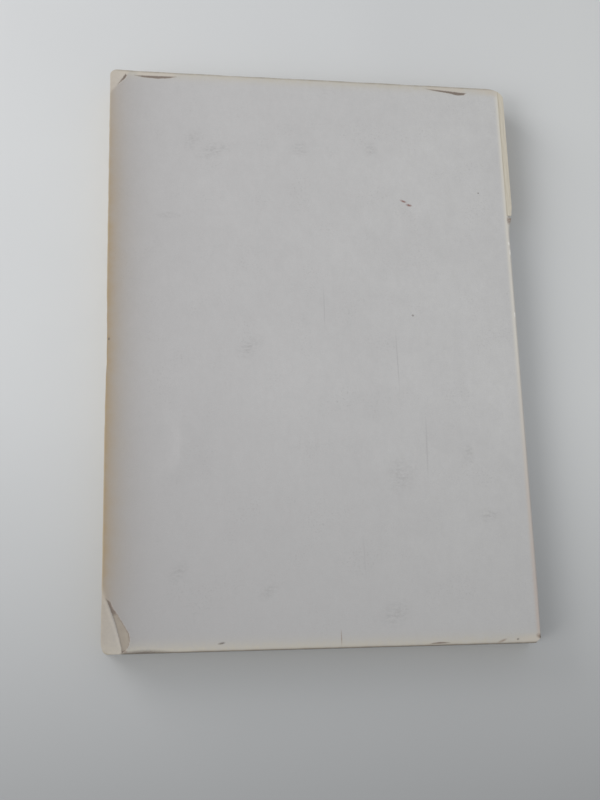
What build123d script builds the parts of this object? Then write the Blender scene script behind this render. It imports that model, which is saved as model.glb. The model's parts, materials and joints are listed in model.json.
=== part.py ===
from build123d import *
import math
import os

# A softcover owner's manual that lies on its front cover, with the back cover on top.
# X runs from the fore edge to the spine, Y from the tail to the head, and Z up.
# The origin lies under the middle of the book, on the table.

# Book size, from the fore edge to the outer face of the spine and from tail to head
book_width = 148.5
book_height = 210.0

# Leaves, folded in gatherings
leaf = 0.1
leaves_per_gathering = 8
gathering_count = 14

# Cover card, and the air between a closed cover and the leaves
card = 0.35
cover_gap = 0.05
fold_gap = 0.05

# Binding glue between the spine ends of the leaves and the spine strip
glue = 0.3
glue_margin = 0.8

# Trimmed sides of the leaves: inset from the cover, lean of the fore edge, groove between gatherings
trim_inset = 0.35
fore_lean = 0.3
groove = 0.14
fold_round = 0.3
inner_corner_radius = 1.6
outer_corner_radius = 2.6

# The back cover's fore edge curls up
curl_length = 16.0
curl_rise = 1.0

# Corners of the covers, rounded by wear
fore_head_radius = 2.6
fore_tail_radius = 3.5
spine_head_radius = 1.6
spine_tail_radius = 1.8
front_corner_radius = 2.0

# Dog-eared corners of the back cover: where the crease meets each edge, from the corner, and its bend
head_ear_along_fore = 9.3
head_ear_along_head = 7.1
head_ear_angle = 4.0
tail_ear_along_fore = 18.6
tail_ear_along_tail = 6.7
tail_ear_angle = 6.0

# Splits in the face of the cover card: depth, place along each dog-ear's crease, opening and its crest
split_depth = 0.2
head_split_from_fore = 4.0
head_split_from_head = 1.8
head_split_width = 0.7
middle_crest = 0.5
tail_split_from_fore = 1.6
tail_split_from_tail = 0.5
tail_split_width = 2.5
tail_split_crest = 0.68

# Splits along the head and tail edges: middle from the fore edge, length, and distance in from the edge
edge_split_width = 0.9
edge_split_inset = 1.8
long_split_place = 16.5
long_split_length = 15.0
short_split_place = 127.0
short_split_length = 14.0
tail_nick_place = 112.5
tail_nick_length = 7.0
tail_nick_inset = 0.7

# Torn spine strip: missing length at the head, slant of the tear, and the ledge left beside the fold
tear_length = 51.0
tear_slant = 7.0
tear_bite = 2.2
wall_round = 0.15
ledge_reach = 2.1
ledge_head_gap = 3.2
ledge_slant = 3.5

# Heights and places that follow from the sizes above
gathering = leaf * leaves_per_gathering
block_height = gathering * gathering_count
block_bottom = card + cover_gap
block_top = block_bottom + block_height
book_thickness = block_top + cover_gap + card
above_book = 2 * book_thickness
fore_x = -(book_width + ledge_reach) / 2
spine_x = fore_x + book_width
fold_x = spine_x - card - fold_gap
block_spine_x = fold_x + fold_gap - glue
head_y = book_height / 2
tail_y = -head_y
curl_radius = (curl_length**2 + curl_rise**2) / (2 * curl_rise)


def rounded_plan(left, right, bottom, top, corner_radii):
    """A flat outline whose corners are rounded one by one: fore tail, fore head, spine tail, spine head."""
    corners = [(left, bottom), (left, top), (right, bottom), (right, top)]
    plan = Pos((left + right) / 2, (bottom + top) / 2) * Rectangle(right - left, top - bottom)
    for corner, radius in zip(corners, corner_radii):
        if radius > 0:
            plan = fillet(plan.vertices().sort_by_distance(Vector(*corner))[0], radius)
    return plan


def gathering_solid(index):
    """One folded gathering: rounded at the spine fold, its trimmed sides bevelled to a groove."""
    from_middle = abs(2 * index / (gathering_count - 1) - 1) if gathering_count > 1 else 0
    wear = inner_corner_radius + (outer_corner_radius - inner_corner_radius) * from_middle**2
    fore = fore_x + trim_inset + fore_lean * index / gathering_count
    plan = rounded_plan(fore, block_spine_x, tail_y + trim_inset, head_y - trim_inset, (wear, wear, 0, 0))
    body = extrude(Pos(0, 0, block_bottom + index * gathering) * plan, gathering)
    spine_edges = body.edges().filter_by(Axis.Y).group_by(Axis.X)[-1]
    body = fillet(spine_edges, fold_round)
    rims = body.faces().filter_by(Axis.Z)
    rim_edges = [edge for rim in rims for edge in rim.edges()]
    trimmed_edges = [edge for edge in rim_edges if edge.center().X < block_spine_x - 2 * fold_round]
    return chamfer(trimmed_edges, groove)


def page_block():
    """All leaves as one solid, gathering on gathering."""
    return Part() + [gathering_solid(index) for index in range(gathering_count)]


def spine_glue():
    """The glue on the spine ends of the leaves, which the strip was stuck to."""
    height = block_height - 2 * fold_round
    length = book_height - 2 * trim_inset - 2 * glue_margin
    middle = (block_bottom + block_top) / 2
    return Pos(block_spine_x + glue / 2, 0, middle) * Box(glue, length, height)


def curl_height(x):
    """How far the back cover has lifted above its flat part, at this distance from the fore edge."""
    into_curl = fore_x + curl_length - x
    if into_curl <= 0:
        return 0
    return curl_radius - math.sqrt(curl_radius**2 - into_curl**2)


def curled_layer(low, high):
    """A layer of the back cover between two heights, flat to the curl and then rising on an arc."""
    flat_end = fore_x + curl_length
    half_way = fore_x + curl_length / 2
    lip = fore_x
    rim = [(x, curl_height(x)) for x in (flat_end, half_way, lip)]
    lower_arc = ThreePointArc(*[(x, low + rise) for x, rise in rim])
    upper_arc = ThreePointArc(*[(x, high + rise) for x, rise in rim])
    lower_flat = Line((flat_end, low), (fold_x, low))
    upper_flat = Line((flat_end, high), (fold_x, high))
    fold_end = Line((fold_x, low), (fold_x, high))
    lip_end = Line(lower_arc @ 1, upper_arc @ 1)
    section = make_face([lower_arc, upper_arc, lower_flat, upper_flat, fold_end, lip_end])
    return extrude(Plane.XZ.offset(-head_y) * section, book_height)


def toward(start, end, distance):
    """The point that lies this far from start on the way to end."""
    share = distance / math.dist(start, end)
    return (start[0] + (end[0] - start[0]) * share, start[1] + (end[1] - start[1]) * share)


def lens(start, end, width, crest):
    """A pointed opening from start to end, bulging to the left of that line, widest at the crest."""
    along = Vector(*end) - Vector(*start)
    side = Vector(-along.Y, along.X).normalized()
    widest = Vector(*start) + along * crest + side * width
    return make_face([Spline(start, widest, end), Line(end, start)])


def edge_lens(place, length, inset, edge_y):
    """A split beside the head or tail edge, bulging towards the middle of the cover."""
    inward = -math.copysign(1, edge_y)
    y = edge_y + inward * inset
    near = (fore_x + place - inward * length / 2, y)
    far = (fore_x + place + inward * length / 2, y)
    return lens(near, far, edge_split_width, middle_crest)


def ear_crease(along_fore, along_edge, edge_y):
    """The two ends of a dog-ear's crease, on the fore edge and on the head or tail edge."""
    return (fore_x, edge_y - math.copysign(along_fore, edge_y)), (fore_x + along_edge, edge_y)


def crease_lens(crease, from_fore, from_edge, width, crest):
    """A split that follows a dog-ear's crease and opens away from the corner."""
    fore_end, edge_end = crease
    start = toward(fore_end, edge_end, from_fore)
    end = toward(edge_end, fore_end, from_edge)
    return lens(start, end, width, crest)


def face_splits():
    """Outlines of the places where the face of the cover card has split open."""
    head_crease = ear_crease(head_ear_along_fore, head_ear_along_head, head_y)
    tail_crease = ear_crease(tail_ear_along_fore, tail_ear_along_tail, tail_y)
    head_place = (head_split_from_fore, head_split_from_head)
    tail_place = (tail_split_from_fore, tail_split_from_tail)
    return [
        crease_lens(head_crease, *head_place, -head_split_width, middle_crest),
        crease_lens(tail_crease, *tail_place, tail_split_width, tail_split_crest),
        edge_lens(long_split_place, long_split_length, edge_split_inset, head_y),
        edge_lens(short_split_place, short_split_length, edge_split_inset, head_y),
        edge_lens(tail_nick_place, tail_nick_length, tail_nick_inset, tail_y),
    ]


def beyond_crease(fore_end, edge_end, corner):
    """A tall prism over all that lies on the corner's side of a crease."""
    middle = ((fore_end[0] + edge_end[0]) / 2, (fore_end[1] + edge_end[1]) / 2)
    overshoot = 3 * math.dist(fore_end, edge_end)
    far_points = [toward(middle, point, overshoot) for point in (fore_end, edge_end, corner)]
    return extrude(make_face(Polyline(*far_points, close=True)), above_book)


def bend_ear(sheet, along_fore, along_edge, edge_y, angle):
    """Bend one corner of the sheet up about its crease, which runs along the underside of the card."""
    fore_end, edge_end = ear_crease(along_fore, along_edge, edge_y)
    corner_side = beyond_crease(fore_end, edge_end, (fore_x, edge_y))
    underside = book_thickness - card
    start = Vector(*fore_end, underside + curl_height(fore_end[0]))
    end = Vector(*edge_end, underside + curl_height(edge_end[0]))
    ear = (sheet & corner_side).rotate(Axis(start, end - start), math.copysign(angle, edge_y))
    return (sheet - corner_side) + ear


def back_cover():
    """The top panel: curled fore edge, worn corners, split face and two dog-ears."""
    radii = (fore_tail_radius, fore_head_radius, spine_tail_radius, spine_head_radius)
    plan = extrude(rounded_plan(fore_x, fold_x, tail_y, head_y, radii), above_book)
    sheet = curled_layer(book_thickness - card, book_thickness) & plan
    face_layer = curled_layer(book_thickness - split_depth, above_book)
    for outline in face_splits():
        sheet -= extrude(outline, above_book) & face_layer
    sheet = bend_ear(sheet, head_ear_along_fore, head_ear_along_head, head_y, head_ear_angle)
    return bend_ear(sheet, tail_ear_along_fore, tail_ear_along_tail, tail_y, tail_ear_angle)


def front_cover():
    """The panel underneath, flat, with lightly rounded fore corners."""
    radii = (front_corner_radius, front_corner_radius, 0, 0)
    return extrude(rounded_plan(fore_x, fold_x, tail_y, head_y, radii), card)


def spine_wall():
    """The strip of card that stands against the spine, torn off on a slant below the head."""
    low = card + fold_gap
    high = book_thickness - fold_gap
    tear_y = head_y - tear_length
    middle = (low + high) / 2
    tear = Spline(
        (tear_y, high),
        (tear_y - tear_bite, (middle + high) / 2),
        (tear_y + tear_bite / 2, middle),
        (tear_y + tear_slant - tear_bite, (low + middle) / 2),
        (tear_y + tear_slant, low),
    )
    tail_side = Polyline((tear_y, high), (tail_y, high), (tail_y, low), (tear_y + tear_slant, low))
    face = Plane.YZ.offset(fold_x + fold_gap) * make_face([tear, tail_side])
    wall = extrude(face, card)
    outer_edges = wall.edges().filter_by(Axis.Y).group_by(Axis.X)[-1]
    return fillet(outer_edges, wall_round)


def torn_ledge():
    """What is left of the torn strip: a narrow ledge of card that springs out flat beside the fold."""
    inner = fold_x + fold_gap
    outer = spine_x + ledge_reach
    tail_end = head_y - tear_length
    head_end = head_y - ledge_head_gap
    plan = make_face(
        Polyline(
            (inner, tail_end - ledge_slant),
            (inner + card, tail_end - ledge_slant),
            (outer, tail_end + ledge_slant / 2),
            (outer, head_end - ledge_slant / 2),
            (inner + card, head_end + ledge_slant / 2),
            (inner, head_end + ledge_slant / 2),
            close=True,
        )
    )
    return extrude(Pos(0, 0, book_thickness - fold_gap - card) * plan, card)


def spine_cover():
    """The spine strip with its torn ledge, one piece of card."""
    return spine_wall() + torn_ledge()


os.makedirs("parts", exist_ok=True)
export_step(page_block(), "parts/page_block.step")
export_step(spine_glue(), "parts/spine_glue.step")
export_step(spine_cover(), "parts/spine_cover.step")
export_step(back_cover(), "parts/back_cover.step")
export_step(front_cover(), "parts/front_cover.step")
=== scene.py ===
import json
import math
import random

import bmesh
import bpy
from mathutils import Euler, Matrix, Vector, noise


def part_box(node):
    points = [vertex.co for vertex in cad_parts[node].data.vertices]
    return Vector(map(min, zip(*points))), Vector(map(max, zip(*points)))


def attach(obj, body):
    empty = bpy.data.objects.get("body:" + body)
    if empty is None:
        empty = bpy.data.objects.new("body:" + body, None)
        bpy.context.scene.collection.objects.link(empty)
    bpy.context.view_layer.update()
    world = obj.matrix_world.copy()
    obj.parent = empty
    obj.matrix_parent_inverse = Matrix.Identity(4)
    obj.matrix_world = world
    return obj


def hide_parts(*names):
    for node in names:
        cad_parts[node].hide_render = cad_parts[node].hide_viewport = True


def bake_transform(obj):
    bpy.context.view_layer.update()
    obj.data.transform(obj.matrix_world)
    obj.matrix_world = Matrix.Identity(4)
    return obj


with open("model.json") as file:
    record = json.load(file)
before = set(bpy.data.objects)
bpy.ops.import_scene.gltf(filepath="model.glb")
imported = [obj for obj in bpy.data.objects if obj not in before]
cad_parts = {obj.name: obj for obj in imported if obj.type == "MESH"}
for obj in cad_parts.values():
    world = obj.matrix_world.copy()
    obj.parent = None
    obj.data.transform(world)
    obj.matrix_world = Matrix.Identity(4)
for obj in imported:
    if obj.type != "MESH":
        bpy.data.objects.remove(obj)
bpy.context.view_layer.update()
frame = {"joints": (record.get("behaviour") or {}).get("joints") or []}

# A softcover owner's manual lying on its front cover: one wrap-around card, loose leaves and spine glue.
# Sizes are in metres. X runs from the fore edge to the spine, Y from tail to head, Z up.
MM = 0.001
joints = {joint["name"]: joint for joint in frame["joints"]}
back_fold = Vector(joints["back_cover_fold"]["pos_m"])
panel_low, panel_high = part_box("back_cover")
under_low, under_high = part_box("front_cover")
pages_low, pages_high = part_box("page_block")
strip_low, strip_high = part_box("spine_cover")
glue_low, glue_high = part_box("spine_glue")

# Sizes read off the frame
fore_x = panel_low.x
fold_x = back_fold.x
top_z = back_fold.z
head_y = panel_high.y
tail_y = panel_low.y
book_height = head_y - tail_y
card = under_high.z - under_low.z
spine_x = strip_low.x + card
panel_width = fold_x - fore_x
fold_radius = spine_x - fold_x
fold_arc = fold_radius * math.pi / 2
ledge_width = strip_high.x - fold_x
wall_height = top_z - fold_radius

# Curl, worn corners and dog-ears of the back cover, and the corners of the front cover
curl_length = 16 * MM
curl_rise = 0.95 * MM
head_corner = (2.6 * MM, 2.6 * MM)
tail_corner = (3.5 * MM, 3.5 * MM)
ledge_corner = (7 * MM, 3.9 * MM)
tail_bite = (2.6 * MM, 1.5 * MM)
front_corner = (2 * MM, 2 * MM)
head_crease = ((0, book_height - 9.3 * MM), (7.1 * MM, book_height))
tail_crease = ((0, 18.6 * MM), (6.7 * MM, 0))
head_ear_angle = 1.6
tail_ear_angle = 5.4

# Frayed edges of the back cover, and the worn middle of its fore edge, measured from the tail
fore_fray = 0.16 * MM
end_fray = 0.14 * MM
worn_middle = 104 * MM
worn_middle_depth = 0.4 * MM

# Slow waves of its card, and a crescent dent, with its centre measured from the fore edge and the tail
slow_wave = 0.07 * MM
quick_wave = 0.012 * MM
dent_centre = Vector((12.8 * MM, 69.5 * MM))
dent_radius = 13.8 * MM
dent_rise = 0.24 * MM

# Splits in the face of the card
split_depth = 0.14 * MM
lip_rise = 0.03 * MM

# Torn spine strip, with its start measured from the tail: it puffs out a little and lifts at the tear
tear_start = book_height - 52.9 * MM
tear_slant = 8 * MM
tear_fray = 1.1 * MM
slit_start = 0.35 * MM
slit_width = 0.5 * MM
ledge_fray = 0.14 * MM
puff_width = 0.33 * MM
tear_lift = 1.2 * MM


def shade(red, green, blue):
    """A colour written as it looks, 0 to 255, turned into the linear numbers that a shader takes."""
    def linear(value):
        value /= 255
        return value / 12.92 if value <= 0.04045 else ((value + 0.055) / 1.055) ** 2.4
    return (linear(red), linear(green), linear(blue), 1.0)


def smooth_step(low, high, value):
    share = min(1.0, max(0.0, (value - low) / (high - low)))
    return share * share * (3 - 2 * share)


def wander(x, y, scale, seed=0.0):
    """Smooth noise between about -1 and 1 that changes over the given distance."""
    return noise.noise(Vector((x / scale, y / scale, seed)))


# Card sheets are made flat: x from the fore edge, y from the tail, then rolled and bent into place


def stops(*spans):
    """Grid lines from spans of (end, step), starting at zero."""
    lines = [0.0]
    for end, step in spans:
        start = lines[-1]
        count = max(1, round((end - start) / step))
        lines += [start + (end - start) * (i + 1) / count for i in range(count)]
    return lines


def grid_sheet(across, along):
    """A flat sheet with these grid lines."""
    sheet = bmesh.new()
    bmesh.ops.create_grid(sheet, x_segments=len(across) - 1, y_segments=len(along) - 1, size=1)
    for vertex in sheet.verts:
        column = round((vertex.co.x + 1) / 2 * (len(across) - 1))
        row = round((vertex.co.y + 1) / 2 * (len(along) - 1))
        vertex.co = Vector((across[column], along[row], 0))
    return sheet


def round_corner(vertex, corner, outward, radii):
    """Draws the points of a square corner in to an oval one, whose directions have the signs in outward."""
    across = (vertex.co.x - corner[0]) * outward[0] / radii[0] + 1
    along = (vertex.co.y - corner[1]) * outward[1] / radii[1] + 1
    if across <= 0 or along <= 0:
        return
    pull = max(across, along) / math.hypot(across, along)
    vertex.co.x = corner[0] + (across * pull - 1) * radii[0] * outward[0]
    vertex.co.y = corner[1] + (along * pull - 1) * radii[1] * outward[1]


def thicken(sheet, depth):
    """Closes a flat sheet to a slab whose second side lies this far below the first."""
    made = bmesh.ops.extrude_face_region(sheet, geom=sheet.faces[:], use_keep_orig=True)
    below = [item for item in made["geom"] if isinstance(item, bmesh.types.BMVert)]
    bmesh.ops.translate(sheet, verts=below, vec=(0, 0, -depth))
    bmesh.ops.recalc_face_normals(sheet, faces=sheet.faces[:])


def finish_mesh(sheet, name, material, sharp_degrees=35):
    mesh = bpy.data.meshes.new(name)
    sheet.to_mesh(mesh)
    sheet.free()
    mesh.materials.append(material)
    for polygon in mesh.polygons:
        polygon.use_smooth = True
    mesh.set_sharp_from_angle(angle=math.radians(sharp_degrees))
    piece = bpy.data.objects.new(name, mesh)
    bpy.context.scene.collection.objects.link(piece)
    return piece


def height_along(profile, share):
    """Height of a line through (share, height) points, and zero outside them."""
    for (start, low), (end, high) in zip(profile, profile[1:]):
        if start <= share <= end:
            return low + (high - low) * (share - start) / (end - start)
    return 0.0


def bowed(width, crest=0.5):
    """Profile of a plain pointed opening of this width, widest at the crest."""
    rising = (crest * 0.4, width * 0.65)
    falling = (1 - (1 - crest) * 0.4, width * 0.65)
    return [(0, 0), rising, (crest, width), falling, (1, 0)]


class Split:
    """A split in the card's face from start to end, between a near and a far side on the left of its line."""

    def __init__(self, start, end, far, near=((0, 0), (1, 0))):
        self.start = Vector(start) * MM
        along = Vector(end) * MM - self.start
        self.length = along.length
        self.along = along.normalized()
        self.side = Vector((-self.along.y, self.along.x))
        self.far = far
        self.near = near

    def place(self, x, y):
        """Share of the way along the split, and distance from its line."""
        offset = Vector((x, y)) - self.start
        return offset.dot(self.along) / self.length, offset.dot(self.side)

    def opening(self, share):
        return abs(height_along(self.far, share) - height_along(self.near, share)) * MM

    def across(self, share, off):
        """Share of the way from the near side to the far side."""
        near = height_along(self.near, share) * MM
        return (off - near) / max(height_along(self.far, share) * MM - near, 0.01 * MM)

    def inside(self, x, y):
        """How deep a point lies inside the split's outline, below zero outside it."""
        share, off = self.place(x, y)
        if not 0 < share < 1:
            beyond = max(-share, share - 1) * self.length
            return -math.hypot(off, beyond)
        sides = sorted([height_along(self.near, share) * MM, height_along(self.far, share) * MM])
        ragged = 0.16 * wander(x, y, 0.6 * MM, 4.0) * min(self.opening(share), MM)
        return min(off - sides[0], sides[1] - off) + ragged


# Splits of the back cover, in millimetres from the fore edge and the tail
head_mm = book_height / MM
head_ear_split = Split(
    start=(2.8, head_mm - 6.2),
    end=(5.8, head_mm - 1.5),
    far=[(0, 0), (0.35, -0.35), (0.7, -0.75), (0.92, -0.6), (1, 0)],
)
tail_ear_split = Split(
    start=(1.4, 17.9),
    end=(6.8, 0.15),
    far=[
        (0, 0), (0.1, 1.1), (0.2, 1.3), (0.32, 2.0), (0.53, 3.1),
        (0.71, 3.9), (0.84, 3.55), (0.94, 2.3), (1, 0),
    ],
    near=[(0, 0), (0.1, 0.3), (0.32, 0.6), (0.53, 0.7), (0.81, 0.5), (0.93, 0.3), (1, 0)],
)
long_split = Split((24.3, head_mm - 1.65), (8.8, head_mm - 1.9), bowed(1.0, 0.45))
short_split = Split(
    start=(135.6, head_mm - 2.45),
    end=(119.4, head_mm - 1.3),
    far=[(0, 0), (0.06, 0.9), (0.2, 1.3), (0.4, 0.8), (0.8, 0.4), (1, 0)],
)
tail_nick = Split((109, 0.45), (116.3, 0.75), bowed(0.5))
splits = [head_ear_split, tail_ear_split, long_split, short_split, tail_nick]


def beyond_crease(x, y, ends):
    """Distance past a dog-ear's crease towards its corner, below zero on the cover's side."""
    fore_end, edge_end = Vector(ends[0]), Vector(ends[1])
    along = (edge_end - fore_end).normalized()
    normal = Vector((along.y, -along.x))
    if normal.dot(Vector((0, edge_end.y)) - edge_end) < 0:
        normal = -normal
    return normal.dot(Vector((x, y)) - edge_end)


def curl_height(x, y):
    """Rise of the curled fore edge, which lies down towards the head."""
    radius = (curl_length**2 + curl_rise**2) / (2 * curl_rise)
    into = max(0.0, curl_length - x)
    flatter = 0.65 * smooth_step(0, 45 * MM, y - book_height + 45 * MM)
    return (radius - math.sqrt(radius**2 - into**2)) * (1 - flatter)


def ear_height(x, y):
    """Rise of the two dog-eared corners, each a flat tip bent up along its crease."""
    head = max(0.0, beyond_crease(x, y, head_crease)) * math.tan(math.radians(head_ear_angle))
    tail = max(0.0, beyond_crease(x, y, tail_crease)) * math.tan(math.radians(tail_ear_angle))
    return head + tail


def card_waves(x, y):
    """Slow unevenness of the card, which dies out at the fold."""
    free = smooth_step(0, 12 * MM, panel_width - x)
    slow = slow_wave * (1 + wander(x, y, 60 * MM, 1.0))
    quick = quick_wave * wander(x, y, 9 * MM, 2.0)
    return free * (slow + quick)


def crescent_dent(x, y):
    """A shallow crescent pressed into the cover: it rises steeply to its rim and dies away slowly outside."""
    offset = Vector((x, y)) - dent_centre
    reach = 1 - smooth_step(6 * MM, 14 * MM, abs(offset.y))
    from_rim = offset.length - dent_radius
    rim = from_rim / (8 * MM if from_rim > 0 else 2.2 * MM)
    return dent_rise * reach * math.exp(-rim * rim) if offset.x > 0 else 0.0


def panel_relief(x, y):
    return curl_height(x, y) + ear_height(x, y) + card_waves(x, y) + crescent_dent(x, y)


def split_relief(x, y):
    """Change of height of the card's face at its splits: a sunken floor and a slightly lifted lip."""
    change = 0.0
    for split in splits:
        deep = split.inside(x, y)
        if deep > -2 * MM:
            change -= split_depth * smooth_step(-0.15 * MM, 0.3 * MM, deep)
            lip = (-deep - 0.4 * MM) / (0.5 * MM)
            change += lip_rise * math.exp(-lip * lip) if deep < 0 else 0
    return change


def split_tone(x, y):
    """Bare core shown inside the splits, and how dark their narrow parts, borders and floors are: partly
    dirt, partly painted shade.
    """
    core = 0.0
    split_dirt_and_shade = 0.0
    for split in splits:
        deep = split.inside(x, y)
        if deep < -0.5 * MM:
            continue
        share, off = split.place(x, y)
        within = smooth_step(-0.22 * MM, 0.2 * MM, deep)
        opening = split.opening(share)
        narrow = smooth_step(-0.1 * MM, 0.6 * MM, opening) * (1 - smooth_step(1.2 * MM, 1.7 * MM, opening))
        across = split.across(share, off)
        # Dirt and painted shade: dark lines along the borders, a darker near side and a shaded floor, with
        # narrow parts darkened as deep shade.
        border = (0.3 + 0.65 * smooth_step(0.4, 1.0, across)) * math.exp(-((deep / (0.36 * MM)) ** 2))
        near_side = 0.28 * (1 - smooth_step(0.0, 0.6, across))
        floor_shade = 0.22 + 0.2 * wander(x, y, 2.5 * MM, 6.0)
        core = max(core, within)
        split_dirt_and_shade = max(split_dirt_and_shade, within * max(narrow, border, near_side, floor_shade))
    return core, split_dirt_and_shade


def rubbed_off(x, y):
    """How bare the card is rubbed: at its dog-ears and spine corners, above its splits and along the tear."""
    bare = 0.8 * smooth_step(-0.8 * MM, 0.2 * MM, beyond_crease(x, y, head_crease))
    bare = max(bare, 0.8 * smooth_step(-1.7 * MM, -0.3 * MM, beyond_crease(x, y, tail_crease)))
    for split in (long_split, short_split):
        share, off = split.place(x, y)
        within = smooth_step(0, 0.12, share) * smooth_step(0, 0.12, 1 - share)
        bare = max(bare, 0.8 * within * smooth_step(-0.1 * MM, 0.2 * MM, -off))
    for end in (0, book_height):
        distance = math.hypot((x - panel_width) / (13 * MM), (y - end) / (4 * MM))
        bare = max(bare, 0.75 * (1 - smooth_step(0.4, 1.0, distance)))
    beyond = x - panel_width
    if beyond > ledge_width:
        ragged = 0.6 * MM * wander(x, y, 1.3 * MM, 9.0)
        bare = max(bare, smooth_step(-2.2 * MM, -0.7 * MM, y - tear_line(beyond) + ragged))
    return bare


def near_split(face):
    """True where a face, in flat coordinates, touches a split or its lip."""
    centre = face.calc_center_median()
    return centre.x < panel_width and any(split.inside(centre.x, centre.y) > -0.7 * MM for split in splits)


def spine_puff(y):
    """How far the spine strip stands out at its upper fold: most beside the tear, and none at the tail."""
    from_tear = max(0.0, tear_start - y)
    return puff_width * smooth_step(0, 20 * MM, y) + tear_lift * math.exp(-((from_tear / (3.6 * MM)) ** 2))


def fold_place(beyond, y, depth):
    """Where a point past the fold lies: round the fold and down the spine, or on the torn ledge."""
    if y > tear_start and beyond <= ledge_width:
        droop = 0.04 * MM * smooth_step(0, 0.5 * MM, beyond) + 0.08 * MM * (beyond / ledge_width) ** 2
        crinkle = 0.05 * MM * wander(beyond, y, 2.2 * MM, 5.0) * smooth_step(0, 0.6 * MM, beyond)
        return fold_x + beyond, top_z - depth - droop + crinkle
    if beyond < fold_arc:
        turn = beyond / fold_radius
        radius = fold_radius - depth
        outward = radius * math.sin(turn) + spine_puff(y) * smooth_step(0, fold_arc, beyond)
        return fold_x + outward, top_z - fold_radius + radius * math.cos(turn)
    down = beyond - fold_arc
    puff = spine_puff(y) * (1 - smooth_step(0, wall_height, down))
    return spine_x - depth + puff, top_z - fold_radius - down


def tear_line(beyond):
    """How far up from the tail the spine strip still reaches, by the distance past the fold."""
    slanted = tear_slant * (beyond / wall_height) ** 1.4
    return tear_start + slanted + tear_fray * wander(beyond, 0, 1.7 * MM, 7.0)


def torn_away(face):
    """True where a face, in flat coordinates, lies in the missing part of the wrap-around card."""
    centre = face.calc_center_median()
    beyond = centre.x - panel_width
    if beyond <= 0:
        return False
    if beyond < ledge_width:
        slit = beyond > slit_start and tear_start - slit_width < centre.y < tear_start
        ragged_edge = ledge_width - ledge_fray * (1 + wander(centre.y, 0, 2.5 * MM, 3.0))
        narrowed = ragged_edge * smooth_step(-9 * MM, 4 * MM, centre.y - tear_start)
        return slit or centre.y > tear_start and beyond > narrowed
    return centre.y > tear_line(beyond)


def wear_outline(vertex):
    """Rounds the panel's worn corners and frays its trimmed edges, in flat coordinates."""
    round_corner(vertex, (0, book_height), (-1, 1), head_corner)
    round_corner(vertex, (0, 0), (-1, -1), tail_corner)
    round_corner(vertex, (panel_width + ledge_width, book_height), (1, 1), ledge_corner)
    x, y = vertex.co.x, vertex.co.y
    fore_bite = 0.4 + wander(0, y, 5 * MM, 21.0) + 0.5 * wander(0, y, 1.2 * MM, 22.0)
    hollow = worn_middle_depth * math.exp(-(((y - worn_middle) / (16 * MM)) ** 2))
    vertex.co.x += math.exp(-x / MM) * (fore_fray * max(0, fore_bite) + hollow)
    from_end = min(y, book_height - y)
    end_bite = 0.5 + wander(x, y, 8 * MM, 23.0) + 0.5 * wander(x, y, 1.4 * MM, 24.0)
    inward = 1 if y < book_height / 2 else -1
    vertex.co.y += inward * end_fray * math.exp(-from_end / (0.8 * MM)) * max(0, end_bite)
    from_fold = x - panel_width - fold_arc
    reach = tail_bite[0] if from_fold < 0 else 2 * tail_bite[0]
    bite = tail_bite[1] * (1 - smooth_step(0, reach, abs(from_fold))) * math.exp(-y / (2 * MM))
    vertex.co.y += bite


def tone_layers(sheet):
    """Layers that the card's paint reads: place on the flat card, rubbed parts, bare core, and the dirt and
    painted shade in the splits.
    """
    layers = sheet.verts.layers
    names = ("rubbed", "core", "split_dirt_and_shade")
    return layers.float_vector.new("place"), *(layers.float.new(name) for name in names)


def cut_creases(sheet):
    """Lays edges along the creases of the two dog-ears, so that they bend sharply."""
    for ends in (head_crease, tail_crease):
        start, end = (Vector((*point, 0)) for point in ends)
        reach = (end - start).length + 4 * MM
        near = [face for face in sheet.faces if (face.calc_center_median() - start).length < reach]
        parts = dict.fromkeys(item for face in near for item in (face, *face.edges, *face.verts))
        cut = Vector((end.y - start.y, start.x - end.x, 0)).normalized()
        bmesh.ops.bisect_plane(sheet, geom=list(parts), plane_co=start, plane_no=cut, dist=1e-6)


def refine_splits(sheet):
    """Makes the faces about the splits four times as fine each way."""
    for _ in range(2):
        edges = dict.fromkeys(edge for face in sheet.faces if near_split(face) for edge in face.edges)
        bmesh.ops.subdivide_edges(sheet, edges=list(edges), cuts=1, use_grid_fill=True)


def wrap_sheet(name, material):
    """The back cover, its fold and the spine strip, one piece of card with its tear."""
    across = stops(
        (30 * MM, 0.5 * MM), (140 * MM, 1.35 * MM), (panel_width - 1 * MM, 0.6 * MM),
        (panel_width + 0.7 * MM, 0.1 * MM), (panel_width + ledge_width + 0.2 * MM, 0.17 * MM),
        (panel_width + fold_arc + wall_height - fold_radius, 0.5 * MM),
    )
    along = stops(
        (9 * MM, 0.4 * MM), (22 * MM, 0.6 * MM), (150 * MM, 2.6 * MM), (166 * MM, 0.4 * MM),
        (198 * MM, 1.6 * MM), (book_height, 0.4 * MM),
    )
    sheet = grid_sheet(across, along)
    bmesh.ops.delete(sheet, geom=[face for face in sheet.faces if torn_away(face)], context="FACES")
    cut_creases(sheet)
    refine_splits(sheet)
    for vertex in sheet.verts:
        wear_outline(vertex)
    bmesh.ops.triangulate(sheet, faces=[face for face in sheet.faces if len(face.verts) > 4])
    thicken(sheet, card)
    place_layer, rubbed_layer, core_layer, split_shade_layer = tone_layers(sheet)
    for vertex in sheet.verts:
        x, y, depth = vertex.co.x, vertex.co.y, -vertex.co.z
        outer = depth < card / 2
        vertex[place_layer] = (x, y, depth)
        vertex[rubbed_layer] = rubbed_off(x, y) if outer else 0.0
        if x > panel_width:
            bent_x, z = fold_place(x - panel_width, y, depth)
        else:
            bent_x = fore_x + x
            z = top_z - depth + panel_relief(x, y) + (split_relief(x, y) if outer else 0)
            vertex[core_layer], vertex[split_shade_layer] = split_tone(x, y) if outer else (0.0, 0.0)
        vertex.co = Vector((bent_x, tail_y + y, z))
    return finish_mesh(sheet, name, material)


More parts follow.
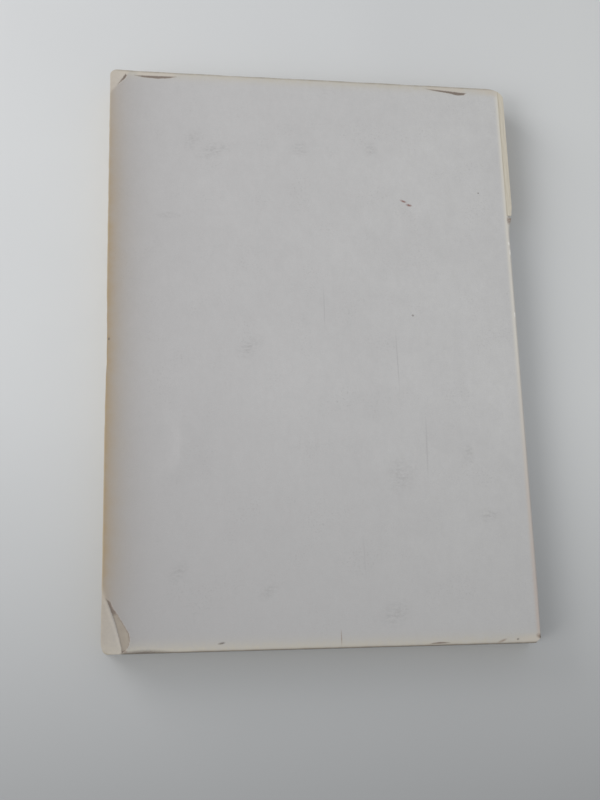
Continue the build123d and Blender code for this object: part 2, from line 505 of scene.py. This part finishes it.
def front_sheet(name, material):
    """The front cover underneath, with its fold up to the spine strip."""
    across = stops(
        (6 * MM, 0.6 * MM), (140 * MM, 3.5 * MM), (panel_width, 0.8 * MM), (panel_width + fold_arc, 0.1 * MM),
    )
    along = stops((8 * MM, 0.6 * MM), (202 * MM, 4 * MM), (book_height, 0.6 * MM))
    sheet = grid_sheet(across, along)
    for vertex in sheet.verts:
        round_corner(vertex, (0, 0), (-1, -1), front_corner)
        round_corner(vertex, (0, book_height), (-1, 1), front_corner)
    thicken(sheet, card)
    place_layer = tone_layers(sheet)[0]
    for vertex in sheet.verts:
        x, y, depth = vertex.co.x, vertex.co.y, -vertex.co.z
        vertex[place_layer] = (x, y, depth)
        turn = max(0, x - panel_width) / fold_radius
        radius = fold_radius - card + depth
        bent_x = fore_x + min(x, panel_width) + radius * math.sin(turn)
        vertex.co = Vector((bent_x, tail_y + y, under_low.z + fold_radius - radius * math.cos(turn)))
    return finish_mesh(sheet, name, material)


# Leaves and glue

leaf_pitch = 0.1 * MM
leaf_thickness = 0.84 * leaf_pitch
leaves_per_gathering = 8
film_thickness = 0.2 * MM
film_gap = 0.01 * MM


def leaf_pattern():
    """One leaf as a closed slab the size of the page block, with lines close together at its edges."""
    width = pages_high.x - pages_low.x
    height = pages_high.y - pages_low.y
    lines = [line * MM for line in (0, 0.4, 0.9, 1.6, 2.6, 4, 8, 18, 45)]
    across = lines + [width * 0.6, width - 12 * MM, width]
    along = lines + [height / 2] + [height - line for line in reversed(lines)]
    sheet = grid_sheet(across, along)
    thicken(sheet, leaf_thickness)
    pattern = bpy.data.meshes.new("leaf_pattern")
    sheet.to_mesh(pattern)
    sheet.free()
    return pattern


def follow_cover(x, y, below_top):
    """The upper leaves rise a little under the curled and dog-eared cover."""
    return math.exp(-below_top * 9) * (0.55 * curl_height(x, y) + 0.5 * ear_height(x, y))


def leaf_stack(name, material):
    """All the leaves, each a little out of line, in gatherings that stand slightly apart."""
    dice = random.Random(7)
    pattern = leaf_pattern()
    width = pages_high.x - pages_low.x
    height = pages_high.y - pages_low.y
    count = round((pages_high.z - pages_low.z) / leaf_pitch)
    stack = bmesh.new()
    tint_layer = stack.verts.layers.float.new("tint")
    for index in range(count):
        if index % leaves_per_gathering == 0:
            shift_x, shift_y = dice.uniform(-0.08, 0.08) * MM, dice.uniform(-0.09, 0.09) * MM
            gathering_tint = dice.uniform(0.0, 1.0)
        own_x, own_y = dice.uniform(0.12, 0.21) * MM, dice.uniform(-0.05, 0.05) * MM
        tint = 0.65 * gathering_tint + 0.35 * dice.random()
        level = index / (count - 1)
        wear = (1.6 + (2 * level - 1) ** 2) * MM
        settle = 0.03 * MM * (index % leaves_per_gathering) / leaves_per_gathering
        low_z = pages_low.z + (index + 0.92) * leaf_pitch - settle
        before = len(stack.verts)
        stack.from_mesh(pattern)
        stack.verts.ensure_lookup_table()
        for vertex in stack.verts[before:]:
            round_corner(vertex, (0, 0), (-1, -1), (wear, wear))
            round_corner(vertex, (0, height), (-1, 1), (wear, wear))
            round_corner(vertex, (width, height), (1, 1), (5 * MM, 1.4 * MM))
            round_corner(vertex, (width, 0), (1, -1), (1.5 * MM, 1.2 * MM))
            free = smooth_step(0, 40 * MM, width - vertex.co.x)
            x = pages_low.x + vertex.co.x + (shift_x + own_x) * free
            y = pages_low.y + vertex.co.y + (shift_y + own_y) * (0.3 + 0.7 * free)
            vertex[tint_layer] = tint
            lift = follow_cover(x - fore_x, y - tail_y, 1 - level)
            vertex.co = Vector((x, y, low_z + vertex.co.z + lift))
    bpy.data.meshes.remove(pattern)
    return finish_mesh(stack, name, material)


def glue_film(name, material):
    """Brittle glue over the spine ends of the leaves, uneven where it is bare at the head."""
    length = glue_high.y - glue_low.y
    across = stops((glue_high.z - glue_low.z, 0.35 * MM))
    along = stops((length - 60 * MM, 2 * MM), (length, 0.5 * MM))
    film = grid_sheet(across, along)
    thicken(film, film_thickness)
    for vertex in film.verts:
        y = glue_low.y + vertex.co.y
        z = glue_low.z + vertex.co.x
        outer = vertex.co.z > -film_thickness / 2
        bump = min(0.08 * MM, 0.09 * MM * wander(y, z, 1.3 * MM, 31.0)) if outer else 0
        vertex.co = Vector((glue_low.x + film_gap + film_thickness + vertex.co.z + bump, y, z))
    bmesh.ops.recalc_face_normals(film, faces=film.faces[:])
    return finish_mesh(film, name, material)


# Materials


class Shader:
    """One material, with short ways to add the nodes that it is made of."""

    def __init__(self, name, place=None):
        self.material = bpy.data.materials.new(name)
        self.material.use_nodes = True
        self.nodes = self.material.node_tree.nodes
        self.links = self.material.node_tree.links
        self.surface = self.nodes["Principled BSDF"]
        if place:
            self.coordinates = self.attribute(place, "Vector")
        else:
            self.coordinates = self.nodes.new("ShaderNodeTexCoord").outputs["Object"]

    def plan(self):
        """The X and Y of the coordinates that this material reads."""
        node = self.nodes.new("ShaderNodeSeparateXYZ")
        self.put(node.inputs[0], self.coordinates)
        return node.outputs["X"], node.outputs["Y"]

    def put(self, socket, value):
        if isinstance(value, bpy.types.NodeSocket):
            self.links.new(value, socket)
        else:
            socket.default_value = value

    def attribute(self, name, output="Fac"):
        node = self.nodes.new("ShaderNodeAttribute")
        node.attribute_name = name
        return node.outputs[output]

    def math(self, operation, first, second=0.0):
        node = self.nodes.new("ShaderNodeMath")
        node.operation = operation
        self.put(node.inputs[0], first)
        self.put(node.inputs[1], second)
        return node.outputs[0]

    def times(self, first, second):
        return self.math("MULTIPLY", first, second)

    def greater(self, first, second):
        return self.math("MAXIMUM", first, second)

    def fade(self, distance, reach, power=1.0):
        """One at no distance, falling off over about this reach."""
        share = self.math("POWER", self.math("ABSOLUTE", self.times(distance, 1 / reach)), power)
        return self.math("EXPONENT", self.times(share, -1.0))

    def noise(self, size, detail=3.0, roughness=0.55, stretch=(1, 1, 1), offset=(0, 0, 0)):
        """Noise whose grain is about this size, in metres, drawn out by stretch."""
        place = self.nodes.new("ShaderNodeMapping")
        place.inputs["Scale"].default_value = [1 / (size * share) for share in stretch]
        place.inputs["Location"].default_value = offset
        self.put(place.inputs["Vector"], self.coordinates)
        node = self.nodes.new("ShaderNodeTexNoise")
        node.inputs["Scale"].default_value = 1.0
        node.inputs["Detail"].default_value = detail
        node.inputs["Roughness"].default_value = roughness
        self.put(node.inputs["Vector"], place.outputs["Vector"])
        return node.outputs["Fac"]

    def ramp(self, value, low, high, start=0.0, end=1.0):
        """From start at low to end at high in a straight line, and level beyond them."""
        node = self.nodes.new("ShaderNodeMapRange")
        for socket, number in (("From Min", low), ("From Max", high), ("To Min", start), ("To Max", end)):
            node.inputs[socket].default_value = number
        self.put(node.inputs["Value"], value)
        return node.outputs["Result"]

    def mix(self, amount, first, second, blend="MIX"):
        node = self.nodes.new("ShaderNodeMix")
        node.data_type = "RGBA"
        node.blend_type = blend
        self.put(node.inputs["Factor"], amount)
        colours = [socket for socket in node.inputs if socket.type == "RGBA"]
        self.put(colours[0], first)
        self.put(colours[1], second)
        return next(output for output in node.outputs if output.type == "RGBA")

    def spot(self, place, size, turn=0.0, softness=0.7):
        """A soft spot on the outer face: centre and half sizes in millimetres, turned by degrees."""
        node = self.nodes.new("ShaderNodeMapping")
        node.vector_type = "TEXTURE"
        node.inputs["Location"].default_value = (place[0] * MM, place[1] * MM, 0)
        node.inputs["Rotation"].default_value = (0, 0, math.radians(turn))
        node.inputs["Scale"].default_value = (size[0] * MM, size[1] * MM, 0.2 * MM)
        self.put(node.inputs["Vector"], self.coordinates)
        length = self.nodes.new("ShaderNodeVectorMath")
        length.operation = "LENGTH"
        self.put(length.inputs[0], node.outputs["Vector"])
        return self.ramp(length.outputs["Value"], 1.0, 1.0 - softness)

    def bump(self, height, strength, distance, onto=None):
        node = self.nodes.new("ShaderNodeBump")
        node.inputs["Strength"].default_value = strength
        node.inputs["Distance"].default_value = distance
        self.put(node.inputs["Height"], height)
        if onto is not None:
            self.put(node.inputs["Normal"], onto)
        return node.outputs["Normal"]

    def bare(self, colour, roughness, normal):
        self.put(self.surface.inputs["Base Color"], colour)
        self.put(self.surface.inputs["Roughness"], roughness)
        self.put(self.surface.inputs["Normal"], normal)
        return self.material


class CardPaint(Shader):
    """The cover card's paint: its distances from the card's edges, and the noises that its layers share."""

    def __init__(self, name):
        super().__init__(name, place="place")
        self.fore, self.tail = self.plan()
        self.head = self.math("SUBTRACT", book_height, self.tail)
        self.fold = self.math("SUBTRACT", self.fore, panel_width)
        self.wobble = self.noise(6 * MM, 3.0, 0.6, offset=(5, 1, 2))
        self.patchy = self.ramp(self.noise(1.6 * MM, 4.0, 0.65, offset=(2, 8, 4)), 0.3, 0.7)
        self.fibre = self.noise(0.35 * MM, 4.0, 0.6)
        self.mottle = self.noise(4 * MM, 4.0, 0.6, stretch=(1.0, 1.5, 1.0), offset=(3, 7, 1))


def pale_grey(paint):
    """The clean face of the card: a pale grey, paler towards the spine and darker towards the tail as painted
    light and shade, mottled and a little cloudy, with specks here and there.
    """
    # Painted light and shade: paler from the fore edge towards the spine, and darker towards the tail, where
    # less light falls.
    face = paint.mix(paint.ramp(paint.fore, 5 * MM, 140 * MM), shade(195, 193, 193), shade(210, 209, 208))
    face = paint.mix(paint.ramp(paint.tail, 90 * MM, 0.0), face, shade(237, 237, 237), "MULTIPLY")
    cloud = paint.ramp(paint.noise(26 * MM, 3.0, 0.5), 0.3, 0.7)
    face = paint.mix(paint.times(cloud, 0.25), face, shade(186, 184, 184))
    face = paint.mix(paint.times(paint.ramp(paint.mottle, 0.35, 0.7), 0.16), face, shade(176, 174, 174))
    face = paint.mix(paint.times(paint.patchy, 0.12), face, shade(168, 166, 166))
    face = paint.mix(paint.times(paint.ramp(paint.fibre, 0.3, 0.7), 0.24), face, shade(160, 158, 158))
    soiled = paint.ramp(paint.noise(13 * MM, 2.0, 0.5, offset=(4, 4, 4)), 0.5, 0.66)
    specks = paint.ramp(paint.noise(0.8 * MM, 4.0, 0.7, offset=(7, 1, 6)), 0.54, 0.7)
    return paint.mix(paint.times(paint.times(specks, soiled), 0.3), face, shade(140, 136, 136))


def fore_edge_stain_and_shade(paint, face):
    """Painted shade towards the fore edge, where the card curls away from the light, and a tan stain where
    fingers open the book, strongest in the middle, with a pale painted highlight along the rim.
    """
    # Painted shade: a neutral grey darkening over the last 15 mm towards the fore edge, in place of the
    # curled card turning away from the light.
    painted_curl_shade = paint.times(paint.fade(paint.fore, 15 * MM), 0.36)
    face = paint.mix(painted_curl_shade, face, shade(140, 137, 136))
    from_head = paint.ramp(paint.head, 5 * MM, 70 * MM, 0.5, 1.0)
    from_tail = paint.ramp(paint.tail, 8 * MM, 30 * MM, 0.4, 1.0)
    along_fore = paint.times(from_head, from_tail)
    tan = paint.times(paint.fade(paint.fore, 3.8 * MM), paint.ramp(paint.wobble, 0.3, 0.7, 0.7, 1.0))
    face = paint.mix(paint.times(tan, along_fore), face, shade(174, 149, 111))
    # Painted highlight: a thin pale line along the very fore edge, as if the edge catches the light.
    painted_edge_highlight = paint.times(paint.times(paint.fade(paint.fore, 0.3 * MM, 2.0), 0.7), along_fore)
    return paint.mix(painted_edge_highlight, face, shade(216, 206, 184))


def edge_wear_and_shade(paint, face):
    """Cream where the fold, the head and the tail are rubbed, brightened at the fold by a painted highlight,
    with a dark line at the cut edges and a painted contact shadow along the tail.
    """
    # Rubbed cream along the fold, brightened as a painted highlight on the rounded fold that turns away from
    # the light; pinker and dimmer towards the tail.
    fold_rub_and_highlight = paint.fade(paint.math("ADD", paint.fold, 0.2 * MM), 0.8 * MM, 2.0)
    along_fold = paint.ramp(paint.tail, 20 * MM, 110 * MM)
    fold_cream_and_highlight_tone = paint.mix(along_fold, shade(190, 178, 170), shade(217, 212, 202))
    face = paint.mix(paint.times(fold_rub_and_highlight, paint.ramp(paint.patchy, 0, 1, 0.7, 1.0)), face, fold_cream_and_highlight_tone)
    at_ends = paint.greater(paint.fade(paint.tail, 3 * MM, 2.0), paint.fade(paint.head, 2.4 * MM, 2.0))
    at_ends = paint.times(at_ends, paint.ramp(paint.patchy, 0, 1, 0.45, 0.9))
    face = paint.mix(at_ends, face, shade(195, 188, 173))
    rubbed = paint.times(paint.attribute("rubbed"), paint.ramp(paint.patchy, 0, 1, 0.65, 1.0))
    face = paint.mix(rubbed, face, shade(202, 193, 181))

    past_ear = paint.ramp(paint.fore, 6 * MM, 7.5 * MM)
    tail_rim = paint.times(paint.fade(paint.tail, 0.5 * MM, 2.0), past_ear)
    rim = paint.greater(paint.fade(paint.head, 0.5 * MM, 2.0), tail_rim)
    rim = paint.times(rim, paint.ramp(paint.wobble, 0.35, 0.65, 0.35, 0.9))
    face = paint.mix(rim, face, shade(138, 129, 116))
    # Painted shadow: a thin dark line along the tail edge, in place of the contact shadow under the card's
    # edge.
    painted_tail_shadow = paint.times(paint.times(paint.fade(paint.tail, 0.3 * MM, 2.0), past_ear), 0.8)
    return paint.mix(painted_tail_shadow, face, shade(112, 105, 96))


def smudged(paint, face):
    """Faint grey smudges, and small spots, stains, dots, scratches and chips, measured on the flat card."""
    grain_noise = paint.noise(1.2 * MM, 4.0, 0.7, stretch=(1.6, 0.8, 1), offset=(1, 2, 3))
    smudges = [
        ((38, 179), (9, 4), 20), ((70, 181), (4, 4), -30), ((50, 104), (7, 4), 40), ((102, 58), (6, 8), -15),
        ((98, 11), (7, 5), 30), ((55, 19), (5, 2.5), 35), ((25, 26), (5, 3), 50), ((30, 183), (6, 4), 60),
        ((97, 182), (3, 4), 0), ((127, 66), (2.5, 4), 0), ((133, 44), (5, 3), 10), ((21, 153), (6, 1.5), 0),
    ]
    dirt = paint.spot(*smudges[0], softness=1.0)
    for smudge in smudges[1:]:
        dirt = paint.greater(dirt, paint.spot(*smudge, softness=1.0))
    dirt = paint.times(dirt, paint.ramp(grain_noise, 0.42, 0.68))
    face = paint.mix(paint.times(dirt, 0.4), face, shade(130, 127, 127))

    ragged = paint.ramp(paint.noise(0.5 * MM, 3.0, 0.6, offset=(9, 4, 2)), 0.3, 0.6, 0.4)
    brown_spots = [((108.3, 161.5), (1.5, 0.55), -20), ((110.4, 160.0), (1.4, 0.65), -10)]
    stains = [
        ((148.5, 155.4), (0.6, 2.2), 0), ((147.9, 2.4), (1.3, 1.1), 0), ((134.6, 1.0), (2.2, 0.5), 20),
        ((7.6, 0.9), (1.3, 0.7), -20), ((79, 3.4), (0.25, 3.2), 0),
    ]
    dirt_dots = [
        ((109.6, 116.8), (0.55, 0.5), 0), ((39, 2.6), (1.5, 0.45), 10), ((1.1, 106), (0.45, 0.7), 0),
        ((14.5, 0.0), (9, 1.4), 0), ((140.2, 1.4), (0.6, 0.45), 20), ((148.5, 2.0), (0.9, 0.8), 0),
        ((137.6, 165.9), (0.4, 0.4), 0),
    ]
    scratches = [
        ((103, 100), (0.3, 13), 1), ((112, 68), (0.35, 14), -1), ((77, 119), (0.3, 9), 0),
        ((88, 30), (0.3, 9), 2),
    ]
    chips = [
        ((148.1, 145.9), (0.45, 1.0), 0), ((148.3, 142.4), (0.4, 1.8), 0), ((148.2, 118), (0.35, 1.4), 0),
    ]
    marks = [
        (brown_spots, shade(132, 86, 74)),
        (stains, shade(154, 138, 126)),
        (dirt_dots, shade(106, 98, 90)),
        (scratches, shade(180, 178, 178)),
        (chips, shade(240, 237, 232)),
    ]
    for spots, tone in marks:
        for spot in spots:
            face = paint.mix(paint.times(paint.spot(*spot), ragged), face, tone)
    return face


def torn_and_split(paint, face):
    """Streaked bare core on the torn ledge, with painted shade in the old crease beside it, and bare core in
    the splits, darkened by dirt and painted shade.
    """
    past_fold = paint.math("GREATER_THAN", paint.fold, 0.0)
    short_of_edge = paint.math("LESS_THAN", paint.fold, ledge_width)
    past_tear = paint.math("GREATER_THAN", paint.tail, tear_start)
    on_ledge = paint.times(paint.times(past_fold, short_of_edge), past_tear)
    streaks = paint.noise(0.3 * MM, 3.0, 0.6, stretch=(1, 30, 1), offset=(1, 3, 2))
    torn_core = paint.mix(paint.ramp(streaks, 0.3, 0.7), shade(219, 212, 197), shade(196, 187, 170))
    face = paint.mix(on_ledge, face, torn_core)
    # Painted shade: the old crease beside the fold is darkened where shade would fall in it.
    painted_crease_shade = paint.fade(paint.math("SUBTRACT", paint.fold, 0.3 * MM), 0.16 * MM, 2.0)
    face = paint.mix(paint.times(paint.times(painted_crease_shade, on_ledge), 0.3), face, shade(140, 128, 110))
    face = paint.mix(paint.attribute("core"), face, shade(176, 166, 153))
    # Dirt and painted shade in the splits darken their narrow parts, borders and floors.
    return paint.mix(paint.times(paint.attribute("split_dirt_and_shade"), 0.85), face, shade(122, 109, 101))


def worn_card(name, smudges=False):
    """Uncoated cover card: pale grey, soiled tan at the fore edge, cream where worn, brown in its cracks from
    dirt and painted shade, with painted light and shade on its face and edges.
    """
    paint = CardPaint(name)
    face = edge_wear_and_shade(paint, fore_edge_stain_and_shade(paint, pale_grey(paint)))
    if smudges:
        face = smudged(paint, face)
    face = torn_and_split(paint, face)
    roughness = paint.math("ADD", paint.times(paint.mottle, 0.12), 0.56)
    paint.surface.inputs["Specular IOR Level"].default_value = 0.35
    relief = paint.bump(paint.mottle, 0.12, 0.12 * MM, paint.bump(paint.fibre, 0.12, 0.03 * MM))
    return paint.bare(face, roughness, relief)


def leaf_paper(name):
    """Uncoated paper, creamier towards its trimmed edges, each leaf a shade apart."""
    paint = Shader(name)
    fibre = paint.noise(0.3 * MM, 3.0)
    cloud = paint.noise(12 * MM, 3.0, offset=(2, 5, 8))
    x, y = paint.plan()
    near_end = paint.ramp(paint.math("ABSOLUTE", y), pages_high.y - 9 * MM, pages_high.y - 1 * MM)
    near_fore = paint.ramp(x, pages_low.x + 12 * MM, pages_low.x + 1 * MM)
    edges = paint.mix(paint.attribute("tint"), shade(214, 206, 190), shade(196, 187, 168))
    inside = paint.mix(paint.times(cloud, 0.3), shade(220, 216, 205), shade(206, 201, 187))
    face = paint.mix(paint.greater(near_end, near_fore), inside, edges)
    face = paint.mix(paint.times(cloud, 0.14), face, shade(176, 164, 142))
    face = paint.mix(paint.times(fibre, 0.15), face, shade(150, 140, 124))
    paint.surface.inputs["Specular IOR Level"].default_value = 0.2
    return paint.bare(face, paint.ramp(fibre, 0, 1, 0.8, 0.9), paint.bump(fibre, 0.15, 0.03 * MM))


def aged_glue(name):
    """Aged hot glue: amber, dull, darker where it is thick."""
    paint = Shader(name)
    streak = paint.noise(1.2 * MM, 4.0, 0.6, stretch=(1, 6, 0.7))
    face = paint.mix(paint.ramp(streak, 0.3, 0.7), shade(196, 178, 138), shade(160, 134, 92))
    return paint.bare(face, paint.ramp(streak, 0, 1, 0.35, 0.65), paint.bump(streak, 0.35, 0.15 * MM))


def pale_table(name):
    """A smooth pale table, darker towards its user as painted shade and a little paler beyond the spine as
    painted light.
    """
    paint = Shader(name)
    cloud = paint.noise(90 * MM, 2.0)
    x, y = paint.plan()
    face = paint.mix(paint.ramp(cloud, 0.3, 0.7), shade(210, 211, 212), shade(213, 214, 215))
    # Painted light: paler beyond the spine, where more light falls.
    face = paint.mix(paint.ramp(x, 40 * MM, 110 * MM), face, shade(217, 218, 218))
    # Painted shade: darker towards the user, in place of light falling off at the near side.
    painted_shade_near_user = paint.math("POWER", paint.ramp(y, -15 * MM, -160 * MM), 1.25)
    face = paint.mix(painted_shade_near_user, face, shade(169, 170, 171))
    smooth = paint.bump(paint.noise(0.8 * MM), 0.05, 0.02 * MM)
    return paint.bare(face, paint.ramp(cloud, 0, 1, 0.5, 0.6), smooth)


# Pieces on their bodies


def place_pieces():
    back = wrap_sheet("back_cover_card", worn_card("worn_cover_card", smudges=True))
    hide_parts("back_cover", "spine_cover")
    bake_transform(back)

    front = front_sheet("front_cover_card", worn_card("plain_cover_card"))
    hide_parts("front_cover")
    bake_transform(front)

    leaves = leaf_stack("leaves", leaf_paper("leaf_paper"))
    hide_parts("page_block")
    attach(leaves, "book_block")

    glue = glue_film("spine_glue_film", aged_glue("aged_binding_glue"))
    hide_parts("spine_glue")
    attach(glue, "book_block")


# Floor, light and camera


def floor():
    ground = bmesh.new()
    bmesh.ops.create_grid(ground, x_segments=1, y_segments=1, size=6)
    just_below = -0.02 * MM
    bmesh.ops.translate(ground, verts=ground.verts[:], vec=(0, 0, just_below))
    finish_mesh(ground, "table_top", pale_table("pale_table"))


def lamp(name, azimuth, elevation, distance, size, spread, power):
    """A square area lamp that looks at the book's upper left part from this direction."""
    data = bpy.data.lights.new(name, "AREA")
    data.shape = "SQUARE"
    data.size = size
    data.spread = math.radians(spread)
    data.energy = power
    light = bpy.data.objects.new(name, data)
    turn = Euler((math.radians(90 - elevation), 0, math.radians(azimuth + 90)))
    light.rotation_euler = turn
    target = Vector((-60 * MM, 60 * MM, 0))
    light.location = target + turn.to_matrix() @ Vector((0, 0, distance))
    bpy.context.scene.collection.objects.link(light)


def surroundings():
    world = bpy.data.worlds.new("pale_room")
    world.use_nodes = True
    nodes, links = world.node_tree.nodes, world.node_tree.links
    room = nodes["Background"]
    room.inputs["Color"].default_value = shade(252, 254, 255)
    room.inputs["Strength"].default_value = 0.535
    seen = nodes.new("ShaderNodeBackground")
    seen.inputs["Color"].default_value = shade(205, 207, 208)
    path = nodes.new("ShaderNodeLightPath")
    mixer = nodes.new("ShaderNodeMixShader")
    links.new(path.outputs["Is Camera Ray"], mixer.inputs["Fac"])
    links.new(room.outputs[0], mixer.inputs[1])
    links.new(seen.outputs[0], mixer.inputs[2])
    links.new(mixer.outputs[0], nodes["World Output"].inputs["Surface"])
    bpy.context.scene.world = world


def camera():
    """The photographer's view: nearly straight down, from beyond the tail and towards the fore edge."""
    data = bpy.data.cameras.new("camera")
    data.sensor_width = 36
    data.lens = 47.189
    data.clip_start = 0.01
    view = bpy.data.objects.new("camera", data)
    view.location = (-61.22 * MM, -106.62 * MM, 364.93 * MM)
    view.rotation_euler = Euler([math.radians(angle) for angle in (13.8637, -8.1839, -1.5978)])
    bpy.context.scene.collection.objects.link(view)
    bpy.context.scene.camera = view


place_pieces()
floor()
surroundings()
lamp("window", azimuth=150, elevation=25, distance=0.6, size=0.4, spread=180, power=1.9)
lamp("window_glow", azimuth=200, elevation=40, distance=0.9, size=0.6, spread=50, power=0.38)
camera()
bpy.context.scene.view_settings.view_transform = "Standard"
